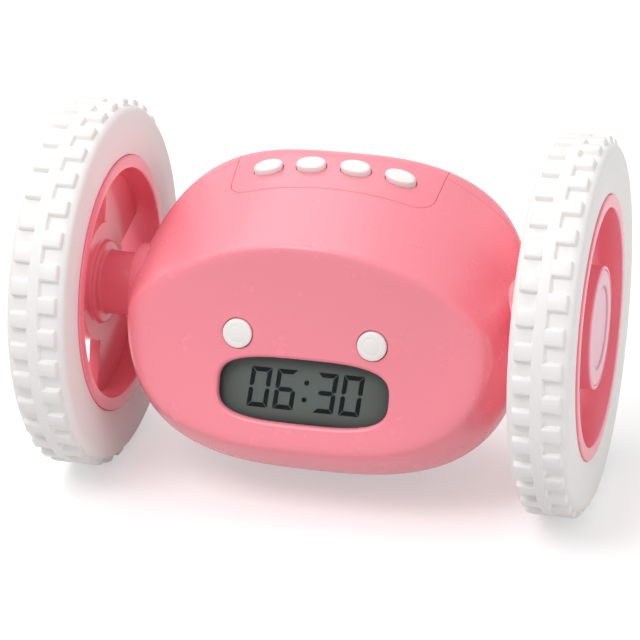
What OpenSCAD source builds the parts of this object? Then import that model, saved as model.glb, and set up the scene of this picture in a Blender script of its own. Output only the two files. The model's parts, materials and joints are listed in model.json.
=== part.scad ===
// Runaway alarm clock: a barrel-shaped bedside clock that drives off on two wheels.
// Millimetres. +Z is up, the face looks along -Y, and the axle lies along X.
// The origin is on the floor, under the middle of the axle.

/* [Wheels] */
// Outside diameter of each tyre
wheel_d = 89; // [86:0.5:92]
// Distance between the middle planes of the two wheels
track = 117; // [114:0.5:122]
// Width of the tyre
tyre_w = 14.4; // [13.8:0.1:15.6]
// Width of the tread across both rows of lugs
tread_w = 11.6; // [11:0.1:13]
// Depth of the pockets between the lugs
tread_depth = 1.7; // [1:0.1:2.4]
// Width of the rib round the middle of the tread
rib_w = 2.7; // [2:0.1:4]
// Lugs in each of the two rows
lug_count = 36; // [24:2:44]
// Share of the pitch that a lug takes up
lug_share = 0.41; // [0.3:0.01:0.55]
// Diameter of the rim where the tyre sits on it
rim_d = 62.2; // [60:0.2:66]
// Width of the rim from lip to lip
rim_w = 13.8; // [12.8:0.1:14.4]
// Radial thickness of the rim's outer ring
rim_wall = 3.2; // [2:0.1:4]
// Thickness of the three spokes, measured along the axle
web_t = 2.6; // [2:0.1:4]
// Angle that each spoke spans
spoke_angle = 60; // [40:1:80]
// Turn of the left wheel's spokes at rest
left_spoke_turn = 45; // [0:1:119]
// Turn of the right wheel's spokes at rest
right_spoke_turn = 12; // [0:1:119]
// Diameter of the hub that carries the cap
hub_d = 29; // [28:0.2:31]
// Diameter of the pressed-in hub cap
hub_cap_d = 27.2; // [24:0.2:27.4]
// Diameter of the hub barrel on the body's side
inner_hub_d = 20; // [18:0.5:24]
// Diameter of the neck between the wheel and the body
neck_d = 15.4; // [12:0.2:18]

/* [Body] */
// Diameter of the barrel
barrel_d = 76; // [74:0.5:78]
// Length of the barrel from end to end
barrel_l = 93.2; // [92:0.2:94]
// How square the barrel's ends are: 2 is an ellipse
barrel_power = 2.9; // [2.7:0.05:3.1]
// How far the barrel's centre lies below the axle
barrel_drop = 2.3; // [1.8:0.1:2.6]
// Thickness of the shells
wall = 2; // [1.6:0.1:2.4]
// Radius of the crowned forehead
forehead_r = 62.5; // [60:0.5:70]
// Height of the forehead over the axle, square to its slope
forehead_h = 28.6; // [28:0.1:29.6]
// Slope of the forehead, falling towards the face
forehead_tilt = 19.8; // [18.6:0.2:21]
// Radius of the hollow face
face_r = 78.7; // [72:0.5:90]
// Distance from the axle forward to the hollow face at its deepest
face_depth = 21.4; // [20.5:0.1:23]
// Height of the hollow face's axis over the axle
face_axis_h = 12.4; // [11:0.2:14]
// Diameter of the collar round the axle at each end of the body
collar_d = 24; // [20:0.5:24.5]
// Height of the collar's face beyond the barrel's end
collar_h = 0.7; // [0.4:0.1:1.6]

// Distance of the seam between the shells behind the axle
seam_back = 12.5; // [12.3:0.1:14]

/* [Top panel] */
// Width of the panel at its front edge
panel_w = 49; // [46:0.5:54]
// Length of the panel along the slope
panel_l = 20.5; // [17:0.5:23]
// How far the panel's front edge lies ahead of the buttons
panel_front = 7.5; // [6.6:0.1:9]
// Radius of the panel's front corners
panel_corner_r = 5; // [3:0.5:7]
// Spread of each side edge towards the back, in degrees
panel_spread = 4; // [0:0.5:8]
// Gap round the panel
panel_gap = 0.2; // [0.1:0.05:0.4]

/* [Buttons] */
// Spacing of the two inner top buttons
inner_pitch = 10.8; // [10:0.1:11.4]
// Spacing of the two outer top buttons
outer_pitch = 32.2; // [31.4:0.1:34]
// Distance of the top buttons from the axle, along the slope
button_along = 15.8; // [14.6:0.1:17]
// Length of an oval top button
oval_l = 7.1; // [6:0.1:7.6]
// Width of an oval top button
oval_w = 4.3; // [3.6:0.1:5]
// Diameter of the round buttons on the face
eye_d = 7; // [6:0.1:8.4]
// Spacing of the round buttons on the face
eye_pitch = 32.2; // [31:0.1:36]
// Upward tilt of the round buttons
eye_tilt = 9; // [6:0.5:12]
// How far the round buttons stand proud
button_proud = 1; // [0.6:0.1:1.4]
// How far the oval buttons stand proud
oval_proud = 1.5; // [1:0.1:2]
// Travel of each button
button_travel = 0.8; // [0.4:0.1:0.9]
// Gap round each button
button_gap = 0.2; // [0.15:0.05:0.3]

/* [Display] */
// Width of the display opening
lcd_w = 41; // [38:0.5:42]
// Height of the display opening
lcd_h = 15.2; // [13:0.2:16.4]
// Tilt of the display, looking up
lcd_tilt = 18.2; // [16:0.2:20]
// Distance of the display opening below the axle
lcd_drop = 12.2; // [11.6:0.1:13]
// How square the corners of the display opening are: 2 is an ellipse
lcd_power = 3.3; // [2.8:0.1:4]
// Width of the step round the display opening
lcd_step = 0.8; // [0.4:0.1:1.2]
// Thickness of the clear window
window_t = 1; // [0.8:0.1:1.4]
// Thickness of the display glass
glass_t = 2.1; // [1.6:0.1:2.6]
// Depth from the face to the front of the main board
board_depth = 9; // [8.6:0.1:9.6]
// Thickness of the circuit boards
board_t = 1; // [0.8:0.1:1.2]

/* [Drive] */
// Gear module: pitch diameter over the number of teeth
gear_module = 0.4; // [0.38:0.005:0.42]
// Pressure angle of the teeth
pressure_angle = 25; // [24:0.5:27]
// Sideways play in each mesh
backlash = 0.08; // [0.05:0.01:0.12]
// Thickness of each gear
gear_t = 2.2; // [1.8:0.1:2.4]
// Diameter of the axle
axle_d = 4; // [3:0.1:4.4]
// Diameter of the motor's shaft and of the gear pins
pin_d = 1.5; // [1.2:0.1:1.6]
// Running clearance round the axle and the pins, on the radius
running_gap = 0.05; // [0.02:0.01:0.08]
// Width of the motor's can
motor_w = 15.5; // [14:0.1:16]
// Height of the motor's can between its flats
motor_h = 12; // [10:0.1:12.4]
// Length of the motor's can
motor_l = 17; // [14:0.5:18]
// Thickness of the gearbox plates
plate_t = 1.5; // [1.2:0.1:1.8]

/* [Power and sound] */
// Diameter of an AAA cell
cell_d = 10.5; // [10:0.1:10.6]
// Length of an AAA cell with its nub
cell_l = 44.5; // [43:0.1:44.8]
// Direction of the battery door, turned back from straight down
door_tilt = -2; // [-3:0.5:1]
// How far the battery door reaches beyond its screw
door_lip = 3; // [2.8:0.1:3.4]
// Width of the battery door across the axle
door_w = 22; // [18:0.5:22.6]
// Gap round the battery door
door_gap = 0.3; // [0.2:0.05:0.4]
// Diameter of the loudspeaker
speaker_d = 28; // [24:0.5:29]
// Diameter of each sound hole in the back
sound_hole_d = 1.8; // [1.2:0.1:2.4]
// Diameter of the screw shanks
screw_d = 2.4; // [2:0.1:2.6]

/* [Hidden] */

pink = [1.0, 0.6, 0.66];
pale_pink = [1.0, 0.72, 0.76];
warm_white = [0.96, 0.95, 0.93];
steel = [0.72, 0.73, 0.75];
board_green = [0.1, 0.4, 0.25];
black = [0.08, 0.08, 0.09];

// Places on the axle and the barrel
axle_z = wheel_d / 2;
barrel_z = axle_z - barrel_drop;
barrel_r = barrel_d / 2;
half_l = barrel_l / 2;
far = 2 * barrel_l;
bite = 0.6;
cut_out = 10;

// Wheel
tyre_r = wheel_d / 2;
rim_r = rim_d / 2;
tread_floor_r = tyre_r - tread_depth;
wheel_x = track / 2;
collar_x = half_l + collar_h;
neck_gap = 0.3;
hub_recess = 3.9;
cap_t = 1.6;
cap_recess = 0.3;
hub_end = rim_w / 2 - cap_recess;

// Forehead and face: distances square to the slope and along it
forehead_axis_h = forehead_h - forehead_r;
face_axis_y = face_depth + face_r;
eye_y = face_axis_y - sqrt(pow(face_r, 2) - pow(face_axis_h, 2));
lcd_y = face_axis_y - sqrt(pow(face_r, 2) - pow(face_axis_h + lcd_drop, 2));

// How far the columns that cut out the panel and the door reach in
panel_reach = 22;
door_reach = 16;

// Top buttons, measured along the forehead's normal from the axle
button_xs = [-outer_pitch / 2, -inner_pitch / 2, inner_pitch / 2, outer_pitch / 2];
flange_w = 0.8;
flange_t = 0.8;
flange_gap = 0.15;
top_board_h = forehead_h - wall - 7.4;
top_switch_w = 4;
top_switch_h = 1.6;
top_plunger_d = 2;
plunger_h = 0.3;
press_gap = button_travel + 0.1;
stem_d = 2.6;
top_board_w = 12;
top_board_l = 44;
top_post_along = 4.6;
top_post_d = 3;

// Round buttons on the face
eye_flange_d = eye_d + 2 * flange_w;
eye_stem_l = 5.2;
eye_dome = 0.5;

// Display stack, measured down from the face at the middle of the opening
window_depth = wall + 0.1;
window_w = lcd_w + 4;
window_h = lcd_h + 1.6;
window_gap = 0.1;
glass_w = lcd_w + 3;
glass_h = lcd_h + 2.2;
glass_depth = window_depth + window_t + 0.1;
eye_lean = lcd_tilt - eye_tilt;
eye_up = (lcd_y - eye_y) * sin(lcd_tilt) + lcd_drop * cos(lcd_tilt);
eye_out = lcd_drop * sin(lcd_tilt) - (lcd_y - eye_y) * cos(lcd_tilt);
switch_up = eye_up + (board_depth + eye_out) * tan(eye_lean);
frame_wall = 0.8;
frame_set_back = 0.5;
zebra_w = 2.2;
switch_w = 6;
eye_plunger_d = 3;
switch_h = 4.3 - (9 - board_depth);
board_top = 19;
board_bottom = 13;
board_half_w = 24;
board_low_half_w = 19;
board_corner = 6;
board_post_d = 4;
chip_sizes = [[9, 9, 1.6], [5, 6, 1.2], [3, 7, 2]];
chip_places = [[-4.5, 9.4], [11, 10], [-17, 10]];
board_posts = [[-6.5, 15], [6.5, 15], [-16, -11.2], [16, -11.2]];

// Gear train: the axle, then two double gears, then the motor
small_teeth = 10;
big_teeth = 40;
output_teeth = 48;
addendum = 0.8;
dedendum = 1.05;
stage_a = gear_module * (output_teeth + small_teeth) / 2;
stage_b = gear_module * (big_teeth + small_teeth) / 2;
second_dir = 14;
first_dir = 104;
motor_dir = 194;
second_at = stage_a * [cos(second_dir), sin(second_dir)];
first_at = second_at + stage_b * [cos(first_dir), sin(first_dir)];
motor_at = first_at + stage_b * [cos(motor_dir), sin(motor_dir)];
half_tooth_small = 180 / small_teeth;
gear_side_gap = 0.35;
motor_face_x = 27;
layer_1 = motor_face_x + plate_t + gear_side_gap;
layer_2 = layer_1 + gear_t + gear_side_gap;
layer_3 = layer_2 + gear_t + gear_side_gap;
cover_x = layer_3 + gear_t + gear_side_gap;
axle_start_x = motor_face_x + 0.3;
boss_x = cover_x + plate_t + 0.3;
bush_d = 9;
bush_boss_d = 15;
gear_post_d = 3.6;
gear_posts = [[-9.5, -8], [14, -8], [-10, 6.7]];
link_r = 2.6;
bar_share = 0.9;
shaft_in_can = 8;

// Battery block, measured from the barrel's centre towards the door
cell_pitch = cell_d + 0.4;
block_depth = 18.4;
holder_wall = 0.8;
holder_gap = 0.1;
holder_w = 2 * cell_pitch + 2 * holder_gap + 2 * holder_wall;
contact_t = 0.5;
contact_w = 8;
holder_l = cell_l + 2 * contact_t + 2 * holder_wall + 2 * holder_gap;
door_boss_d = 5.4;
door_boss_gap = 0.65;
door_screw_x = holder_l / 2 + door_boss_gap + door_boss_d / 2;
door_l = 2 * (door_screw_x + door_lip);
door_seat_r = 28.6;

// Screws
head_d = 2 * screw_d;
head_h = 1.6;
head_gap = 0.4;
boss_d = 6.4;
shell_screw_l = 14;
seat_back = seam_back + 6;
shell_screw_at = [[-6.5, 16], [6.5, 16], [-32, -17], [32, -17]];
board_screw_d = 1.6;
board_screw_l = 5;

// Loudspeaker
speaker_t = 7;
speaker_back = 31.5;
speaker_ring = 1.6;
sound_rings = 3;
sound_ring_step = 3.6;

$fn = 64;

// ---- outlines and frames ----

// Points of a superellipse between two angles
function superellipse(a, b, power, first, last, step) = [
    for (t = [first : step : last])
        [a * sign(cos(t)) * pow(abs(cos(t)), 2 / power),
         b * sign(sin(t)) * pow(abs(sin(t)), 2 / power)]
];

// Points of an arc
function arc(centre, r, first, last, steps) = [
    for (i = [0 : steps])
        let (a = first + (last - first) * i / steps)
        centre + r * [cos(a), sin(a)]
];

// How far the crowned forehead falls away at x from the middle
function crown_drop(x) = forehead_r - sqrt(pow(forehead_r, 2) - pow(x, 2));

// Involute function, in degrees
function involute(a) = tan(a) * 180 / PI - a;

// Half the angle that a tooth spans at radius r
function half_tooth(teeth, r) =
    let (pitch_r = gear_module * teeth / 2,
         base_r = pitch_r * cos(pressure_angle),
         thinning = backlash / 2 / pitch_r * 180 / PI)
    90 / teeth - thinning + involute(pressure_angle) - involute(acos(base_r / max(r, base_r)));

// Radii where a flank has points, from the root to the tip
function flank_radii(teeth) =
    let (pitch_r = gear_module * teeth / 2,
         root_r = pitch_r - dedendum * gear_module,
         tip_r = pitch_r + addendum * gear_module,
         base_r = max(pitch_r * cos(pressure_angle), root_r + 0.02),
         steps = 4)
    concat([root_r], [for (i = [0 : steps]) base_r + (tip_r - base_r) * i / steps]);

// Outline of a gear with a tooth pointing along `turn`
function gear_outline(teeth, turn) =
    let (radii = flank_radii(teeth), top = len(radii) - 1)
    [for (i = [0 : teeth - 1], side = [-1, 1], k = [0 : top])
        let (r = side < 0 ? radii[k] : radii[top - k],
             a = turn + i * 360 / teeth + side * half_tooth(teeth, r))
        r * [cos(a), sin(a)]];

// Outline drawn in Y and Z, extruded along +X from x
module along_axle(x, h) {
    translate([x, 0, axle_z]) rotate([90, 0, 90]) linear_extrude(height = h) children();
}

// Cylinder parallel to the axle at [y, z] from the axle
module axle_pin(at, d, x, h) {
    translate([x, at[0], axle_z + at[1]]) rotate([0, 90, 0]) cylinder(d = d, h = h);
}

// Frame on the forehead: local Z is its outward normal, local Y runs up the slope from the axle
module on_forehead(x, along, up) {
    translate([0, 0, axle_z]) rotate([forehead_tilt, 0, 0]) translate([x, along, up]) children();
}

// Frame at a post under the top panel, between two of the oval buttons
module on_top_post(side, up) {
    on_forehead(side * (inner_pitch + outer_pitch) / 4, button_along + top_post_along, up) children();
}

// Frame at the display opening: local Z looks out of the face
module on_face() {
    translate([0, -lcd_y, axle_z - lcd_drop]) rotate([90 - lcd_tilt, 0, 0]) children();
}

// Frame at a round button: local Z points out along its travel
module on_eye(side) {
    translate([side * eye_pitch / 2, -eye_y, axle_z]) rotate([90 - eye_tilt, 0, 0]) children();
}

// Frame at the battery door: local -Z points out through the door
module on_door() {
    translate([0, 0, barrel_z]) rotate([door_tilt, 0, 0]) children();
}

// Straight bar with round ends between two points, drawn flat
module link(a, b, r) {
    run = b - a;
    translate(a) circle(r = r);
    translate(b) circle(r = r);
    translate(a) rotate(atan2(run[1], run[0])) translate([0, -bar_share * r])
        square([norm(run), 2 * bar_share * r]);
}

module left_side() {
    mirror([1, 0, 0]) children();
}

// ---- the body's shape ----

// Barrel with its crowned forehead and its hollow face, drawn in by `inset`
module body_form(inset) {
    difference() {
        intersection() {
            translate([0, 0, barrel_z]) rotate([0, 90, 0]) rotate_extrude($fn = 96)
                polygon(superellipse(barrel_r - inset, half_l - inset, barrel_power, -90, 90, 7.5));
            on_forehead(0, 0, forehead_axis_h) rotate([90, 0, 0])
                cylinder(r = forehead_r - inset, h = far, center = true, $fn = 128);
        }
        translate([0, -face_axis_y, axle_z + face_axis_h]) rotate([0, 90, 0])
            cylinder(r = face_r + inset, h = far, center = true, $fn = 128);
    }
}

// Hollow skin with a collar at each end
module skin() {
    difference() {
        union() {
            body_form(0);
            for (side = [-1, 1]) {
                axle_pin([0, 0], collar_d, side > 0 ? half_l - 4 : -collar_x, collar_x - half_l + 4);
            }
        }
        body_form(wall);
    }
}

// Space behind the seam between the shells, or ahead of it
module half_space(side) {
    translate([-far / 2, seam_back - (side > 0 ? 0 : far), -far / 2]) cube([far, far, far * 1.5]);
}

// Boss that holds each bush, joined to the ends of the shell
module bush_bosses() {
    intersection() {
        for (side = [-1, 1]) {
            axle_pin([0, 0], bush_boss_d, side > 0 ? boss_x : -collar_x, collar_x - boss_x);
        }
        union() {
            body_form(0.01);
            axle_pin([0, 0], bush_boss_d, -collar_x, 2 * collar_x);
        }
    }
}

module bush_bores() {
    axle_pin([0, 0], bush_d, -collar_x - 1, 2 * collar_x + 2);
}

// Outline of the top panel, widened by `grow`, with its front corners rounded
module panel_outline(grow) {
    half_w = panel_w / 2 + grow;
    front = -panel_front - grow;
    back = front + panel_l + 2 * grow;
    back_half_w = half_w + panel_l * tan(panel_spread);
    r = panel_corner_r + grow;
    polygon(concat(
        [[-back_half_w, back]],
        arc([-half_w + r, front + r], r, 180, 270, 6),
        arc([half_w - r, front + r], r, 270, 360, 6),
        [[back_half_w, back]]
    ));
}

// Column that cuts the top panel out of the skin
module panel_column(grow) {
    on_forehead(0, button_along, forehead_h - panel_reach) linear_extrude(height = panel_reach + cut_out)
        panel_outline(grow);
}

module door_column(grow) {
    on_door() translate([-door_l / 2 - grow, -door_w / 2 - grow, -barrel_r - cut_out])
        cube([door_l + 2 * grow, door_w + 2 * grow, door_reach + cut_out]);
}

// Opening for the display, with a shallow step round it
module lcd_opening() {
    on_face() {
        translate([0, 0, -window_depth - 1]) linear_extrude(height = 12)
            polygon(superellipse(lcd_w / 2, lcd_h / 2, lcd_power, 0, 354, 6));
        translate([0, 0, -lcd_step]) linear_extrude(height = 12)
            polygon(superellipse(lcd_w / 2 + lcd_step, lcd_h / 2 + lcd_step, lcd_power, 0, 354, 6));
    }
}

// Flat lands behind the hollow face, where the window and the round buttons seat
module face_pocket() {
    on_face() translate([-window_w / 2 - 0.2, -window_h / 2 - 0.2, -window_depth - 6])
        cube([window_w + 0.4, window_h + 0.4, 6]);
}

module boss(at, y0, y1, d) {
    translate([at[0], y0, axle_z + at[1]]) rotate([-90, 0, 0]) cylinder(d = d, h = y1 - y0);
}

// ---- shells ----

module front_shell() {
    color(pink) difference() {
        union() {
            intersection() {
                difference() {
                    union() {
                        skin();
                        bush_bosses();
                    }
                    panel_column(panel_gap);
                    door_column(door_gap);
                }
                half_space(-1);
            }
            intersection() {
                union() {
                    for (at = shell_screw_at) boss(at, -barrel_r, seam_back, boss_d);
                    on_door() translate([door_screw_x, 0, -door_seat_r]) cylinder(d = door_boss_d, h = 8);
                    on_door() translate([door_screw_x, -door_boss_d / 2, -door_seat_r])
                        cube([8, door_boss_d, 3]);
                    on_face() for (at = board_posts)
                        translate([at[0], at[1], -board_depth])
                            cylinder(d = board_post_d, h = board_depth);
                }
                body_form(wall - 0.2);
            }
        }
        for (at = shell_screw_at) boss(at, seat_back - shell_screw_l, seam_back + 1, screw_d);
        on_door() translate([door_screw_x, 0, -barrel_r]) cylinder(d = screw_d + head_gap, h = barrel_r);
        on_face() for (at = board_posts)
            translate([at[0], at[1], -board_depth - 1]) cylinder(d = board_screw_d, h = board_screw_l);
        lcd_opening();
        face_pocket();
        for (side = [-1, 1]) on_eye(side)
            translate([0, 0, -2 * wall]) cylinder(d = eye_d + 2 * button_gap, h = 4 * wall);
        bush_bores();
    }
}

module rear_shell() {
    color(pink) difference() {
        union() {
            intersection() {
                difference() {
                    skin();
                    panel_column(panel_gap);
                }
                half_space(1);
            }
            intersection() {
                union() {
                    for (at = shell_screw_at) boss(at, seam_back, barrel_r, boss_d);
                    boss([0, -barrel_drop], speaker_back - speaker_t, barrel_r, speaker_d + 2 * speaker_ring);
                }
                body_form(wall - 0.2);
            }
        }
        for (at = shell_screw_at) {
            boss(at, seam_back - 1, barrel_r, screw_d + head_gap);
            boss(at, seat_back, barrel_r + 2, head_d + head_gap);
        }
        boss([0, -barrel_drop], 0, speaker_back, speaker_d + 0.2);
        boss([0, -barrel_drop], 0, barrel_r - wall - 1.2, speaker_d - 2.4);
        for (ring = [0 : sound_rings - 1]) {
            count = max(1, 6 * ring);
            for (i = [0 : count - 1]) {
                a = i * 360 / count;
                boss([ring * sound_ring_step * cos(a), ring * sound_ring_step * sin(a) - barrel_drop],
                    speaker_back, barrel_r + 2, sound_hole_d);
            }
        }
    }
}

module top_panel() {
    color(pink) difference() {
        union() {
            intersection() {
                skin();
                panel_column(0);
            }
            intersection() {
                for (side = [-1, 1])
                    on_top_post(side, top_board_h)
                        cylinder(d = top_post_d, h = forehead_h - top_board_h);
                body_form(wall - 0.2);
            }
        }
        for (x = button_xs)
            on_forehead(x, button_along, forehead_h - 12) linear_extrude(height = 16)
                polygon(superellipse(oval_l / 2 + button_gap, oval_w / 2 + button_gap, 2, 0, 352, 8));
        for (side = [-1, 1])
            on_top_post(side, top_board_h - 1)
                cylinder(d = board_screw_d, h = board_screw_l);
    }
}

module battery_door() {
    color(pink) difference() {
        intersection() {
            union() {
                difference() {
                    body_form(0);
                    body_form(wall);
                }
                on_door() translate([door_screw_x, 0, -barrel_r])
                    cylinder(d = door_boss_d, h = barrel_r - door_seat_r - 0.3);
            }
            body_form(0);
            door_column(0);
        }
        on_door() {
            translate([door_screw_x, 0, -barrel_r - 2]) cylinder(d = screw_d, h = barrel_r);
            translate([door_screw_x, 0, -barrel_r - 2])
                cylinder(d = head_d + head_gap, h = barrel_r - door_seat_r);
        }
    }
}

module door_screw() {
    color(steel) on_door() {
        translate([door_screw_x, 0, -door_seat_r - 2]) screw_form(screw_d, 8);
    }
}

// Pan-head screw: the shank runs along +Z from the seat, the head hangs below it
module screw_form(d, l) {
    difference() {
        union() {
            cylinder(d = d, h = l);
            translate([0, 0, -head_h]) cylinder(d = 2 * d, h = head_h);
        }
        translate([-d * 0.7, -d * 0.12, -head_h - 1]) cube([d * 1.4, d * 0.24, 1.8]);
        translate([-d * 0.12, -d * 0.7, -head_h - 1]) cube([d * 0.24, d * 1.4, 1.8]);
    }
}

module shell_screws() {
    color(steel) for (at = shell_screw_at)
        translate([at[0], seat_back, axle_z + at[1]]) rotate([90, 0, 0])
            screw_form(screw_d, shell_screw_l);
}

module board_screws() {
    color(steel) {
        on_face() for (at = board_posts)
            translate([at[0], at[1], -board_depth - board_t]) screw_form(board_screw_d, board_screw_l - 0.5);
        for (side = [-1, 1])
            on_top_post(side, top_board_h - board_t)
                screw_form(board_screw_d, board_screw_l - 0.5);
    }
}

// ---- display and boards ----

module lcd_window() {
    color("white", 0.3) on_face() {
        translate([-window_w / 2, -window_h / 2, -window_depth - window_t])
            cube([window_w, window_h, window_t]);
        translate([0, 0, -window_depth - window_t / 2]) linear_extrude(height = window_t / 2 + 0.8)
            polygon(superellipse(lcd_w / 2 - window_gap, lcd_h / 2 - window_gap, lcd_power, 0, 354, 6));
    }
}

module lcd_glass() {
    color([0.42, 0.48, 0.44]) on_face() translate([-glass_w / 2, -glass_h / 2, -glass_depth - glass_t])
        cube([glass_w, glass_h, glass_t]);
}

module lcd_frame() {
    frame_h = board_depth - glass_depth - frame_set_back;
    color(warm_white) on_face() difference() {
        translate([-glass_w / 2 - frame_wall, -glass_h / 2 - frame_wall, -board_depth])
            cube([glass_w + 2 * frame_wall, glass_h + 2 * frame_wall, frame_h]);
        translate([-glass_w / 2, -glass_h / 2, -glass_depth - glass_t]) cube([glass_w, glass_h, 10]);
        translate([-glass_w / 2 + 2, -glass_h / 2 + zebra_w + 1, -board_depth - 1])
            cube([glass_w - 4, glass_h - zebra_w - 3, 20]);
        translate([-glass_w / 2 + 2, -glass_h / 2 + 0.5, -board_depth - 1]) cube([glass_w - 4, zebra_w, 20]);
        for (at = board_posts) translate([at[0], at[1], -board_depth - 1])
            cylinder(d = board_post_d + 0.4, h = 20);
    }
}

module zebra_strip() {
    color(black) on_face() translate([-glass_w / 2 + 2, -glass_h / 2 + 0.5, -board_depth])
        cube([glass_w - 4, zebra_w, board_depth - glass_depth - glass_t]);
}

module main_board() {
    color(board_green) on_face() difference() {
        translate([0, 0, -board_depth - board_t]) linear_extrude(height = board_t)
            polygon([[-board_low_half_w, -board_bottom], [board_low_half_w, -board_bottom],
                [board_half_w, board_corner - board_bottom], [board_half_w, board_top],
                [-board_half_w, board_top], [-board_half_w, board_corner - board_bottom]]);
        for (at = board_posts) translate([at[0], at[1], -board_depth - 3]) cylinder(d = board_screw_d, h = 5);
    }
}

module board_chips() {
    color(black) on_face() for (i = [0 : 2])
        translate([chip_places[i][0], chip_places[i][1], -board_depth - board_t - chip_sizes[i][2]])
            cube(chip_sizes[i]);
}

module tact_switch(w, h, plunger_d) {
    translate([-w / 2, -w / 2, 0]) cube([w, w, h - plunger_h]);
    cylinder(d = plunger_d, h = h);
}

module eye_switches() {
    color(black) on_face() for (side = [-1, 1])
        translate([side * eye_pitch / 2, switch_up, -board_depth])
            tact_switch(switch_w, switch_h, eye_plunger_d);
}

module button_board() {
    color(board_green) difference() {
        on_forehead(-top_board_l / 2, button_along - top_board_w / 2, top_board_h - board_t)
            cube([top_board_l, top_board_w, board_t]);
        for (side = [-1, 1])
            on_top_post(side, top_board_h - 3)
                cylinder(d = board_screw_d, h = 5);
    }
}

module top_switches() {
    color(black) for (x = button_xs)
        on_forehead(x, button_along, top_board_h)
            tact_switch(top_switch_w, top_switch_h + plunger_h, top_plunger_d);
}

module speaker() {
    color(black) {
        boss([0, -barrel_drop], speaker_back - 2, speaker_back, speaker_d);
        boss([0, -barrel_drop], speaker_back - speaker_t, speaker_back - 2, speaker_d * 0.62);
    }
}

// ---- buttons ----

module eye_button(side) {
    color(warm_white) on_eye(side) {
        intersection() {
            translate([0, 0, -wall]) cylinder(d = eye_d, h = wall + button_proud);
            translate([0, 0, button_proud - pow(eye_d, 2) / 8 / eye_dome])
                sphere(r = pow(eye_d, 2) / 8 / eye_dome, $fn = 96);
        }
        translate([0, 0, -wall - flange_gap - flange_t]) cylinder(d = eye_flange_d, h = flange_t);
        translate([0, 0, -wall - flange_gap - flange_t / 2]) cylinder(d = eye_d, h = flange_gap + flange_t);
        translate([0, 0, -eye_stem_l + button_travel]) cylinder(d = stem_d, h = 2);
    }
}

// Column under an oval button, cut between two heights that follow the crown
module oval_slab(x, grow, low, high) {
    intersection() {
        on_forehead(x, button_along, forehead_h - 14) linear_extrude(height = 18)
            polygon(superellipse(oval_l / 2 + grow, oval_w / 2 + grow, 2, 0, 352, 8));
        difference() {
            on_forehead(0, 0, forehead_axis_h) rotate([90, 0, 0])
                cylinder(r = forehead_r + high, h = far, center = true, $fn = 128);
            on_forehead(0, 0, forehead_axis_h) rotate([90, 0, 0])
                cylinder(r = forehead_r + low, h = far + 2, center = true, $fn = 128);
        }
    }
}

module top_button(i) {
    x = button_xs[i];
    tip_h = top_board_h + top_switch_h + plunger_h + press_gap;
    color(warm_white) {
        oval_slab(x, 0, -wall - flange_gap - flange_t / 2, oval_proud);
        oval_slab(x, flange_w, -wall - flange_gap - flange_t, -wall - flange_gap);
        on_forehead(x, button_along, tip_h)
            cylinder(d = stem_d, h = forehead_h - crown_drop(x) - wall - flange_gap - flange_t / 2 - tip_h);
    }
}

// ---- power ----

module cell_frame(i) {
    on_door() translate([0, (i % 2 - 0.5) * cell_pitch, -block_depth + (floor(i / 2) - 0.5) * cell_pitch])
        rotate([0, i % 2 == floor(i / 2) ? 90 : -90, 0]) children();
}

module battery_cells() {
    nub_l = 0.8;
    color([0.75, 0.6, 0.3]) for (i = [0 : 3]) cell_frame(i) {
        translate([0, 0, -cell_l / 2]) cylinder(d = cell_d, h = cell_l - nub_l);
        translate([0, 0, cell_l / 2 - nub_l]) cylinder(d = 3.8, h = nub_l);
    }
}

module battery_contacts() {
    color(steel) for (i = [0 : 3], end = [-1, 1])
        on_door() translate([
            end > 0 ? cell_l / 2 : -cell_l / 2 - contact_t,
            (i % 2 - 0.5) * cell_pitch - contact_w / 2,
            -block_depth + (floor(i / 2) - 0.5) * cell_pitch - contact_w / 2
        ]) cube([contact_t, contact_w, contact_w]);
}

module battery_holder() {
    color(black) on_door() difference() {
        translate([-holder_l / 2, -holder_w / 2, -block_depth - cell_pitch])
            cube([holder_l, holder_w, 2 * cell_pitch + holder_gap + holder_wall]);
        translate([-holder_l / 2 + holder_wall, -holder_w / 2 + holder_wall, -block_depth - cell_pitch - 1])
            cube([holder_l - 2 * holder_wall, holder_w - 2 * holder_wall, 2 * cell_pitch + holder_gap + 1]);
    }
}

// ---- drive, drawn for the right side ----

module motor() {
    color(steel) difference() {
        union() {
            intersection() {
                axle_pin(motor_at, motor_w, motor_face_x - motor_l, motor_l);
                translate([0, motor_at[0] - motor_w, axle_z + motor_at[1] - motor_h / 2])
                    cube([far, 2 * motor_w, motor_h]);
            }
            axle_pin(motor_at, 5, motor_face_x - motor_l - 1, motor_l);
        }
        axle_pin(motor_at, pin_d + 2 * running_gap, motor_face_x - shaft_in_can - 0.3, shaft_in_can + 1);
    }
}

module motor_shaft() {
    color(steel) axle_pin(motor_at, pin_d, motor_face_x - shaft_in_can,
        layer_1 + gear_t - motor_face_x + shaft_in_can);
}

module gear(teeth, at, turn, x, bore) {
    along_axle(x, gear_t) translate(at) difference() {
        polygon(gear_outline(teeth, turn));
        circle(d = bore);
    }
}

module pinion() {
    color(warm_white) gear(small_teeth, motor_at, motor_dir + 180 + half_tooth_small, layer_1, pin_d);
}

// Double gear: a big wheel in one layer and a small one in the next, running on a pin
module double_gear(at, big_turn, small_turn, big_x, small_x) {
    bore = pin_d + 2 * running_gap;
    color(warm_white) {
        gear(big_teeth, at, big_turn, big_x, bore);
        gear(small_teeth, at, small_turn, small_x, bore);
        along_axle(big_x + gear_t, small_x - big_x - gear_t) translate(at) difference() {
            circle(d = gear_module * small_teeth - 2 * dedendum * gear_module);
            circle(d = bore);
        }
    }
}

module first_gear() {
    double_gear(first_at, motor_dir, first_dir + 180 + half_tooth_small, layer_1, layer_2);
}

module second_gear() {
    double_gear(second_at, first_dir, second_dir + 180 + half_tooth_small, layer_2, layer_3);
}

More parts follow.
